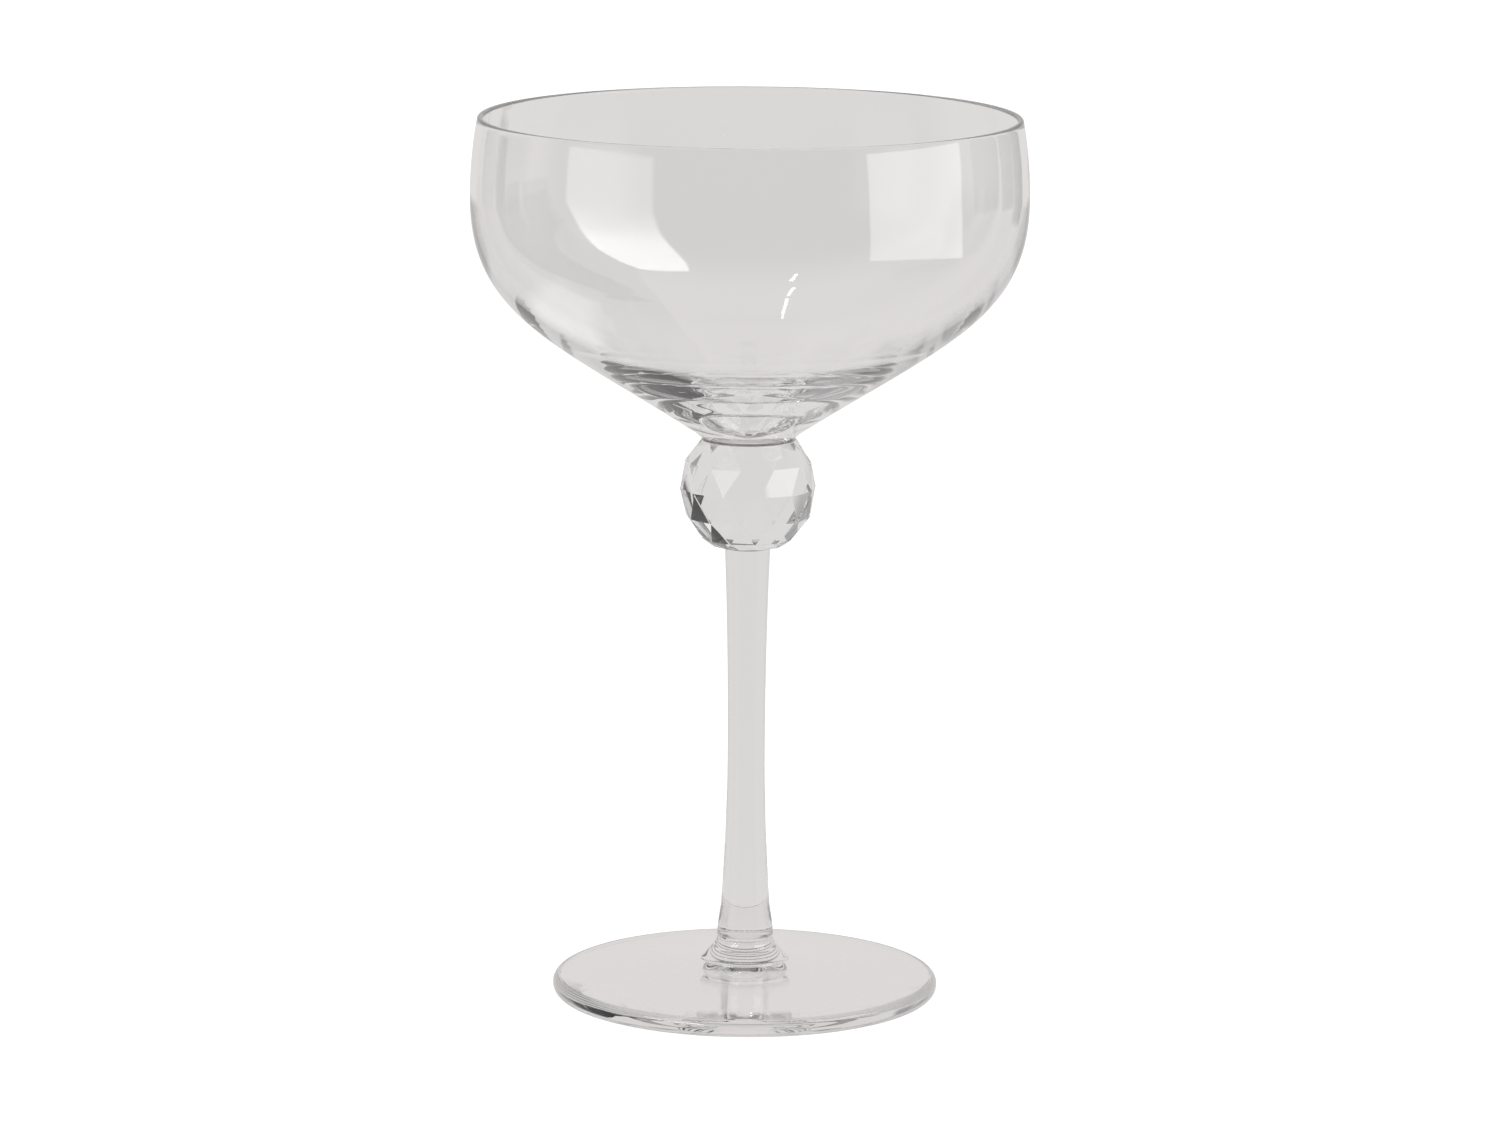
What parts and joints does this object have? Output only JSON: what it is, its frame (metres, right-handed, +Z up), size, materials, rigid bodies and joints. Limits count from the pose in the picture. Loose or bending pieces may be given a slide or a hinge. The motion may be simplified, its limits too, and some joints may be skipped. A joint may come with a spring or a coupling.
{
  "type": "cocktail glass",
  "caption": "Stemmed cocktail glass: a deep rounded martini bowl on a faceted crystal ball, with a slim waisted stem and a round foot.",
  "frame": {"origin": "centre of the ring that the foot stands on, at table level", "axes": "+Z up the glass's axis, from the foot to the rim; the glass is round, so X and Y are any two level directions"},
  "size_m": [0.11, 0.11, 0.1765],
  "materials": {
    "clear_glass": "fire-polished clear glass, faint waviness",
    "cut_crystal": "cut and polished flat facets, crisp edges",
    "clear_adhesive": "clear set adhesive, glossy"
  },
  "bodies": {
    "root": {"bowl": "clear_glass", "bowl_bond": "clear_adhesive", "ball": "cut_crystal", "stem_bond": "clear_adhesive", "stem": "clear_glass", "foot": "clear_glass"}
  },
  "joints": []
}
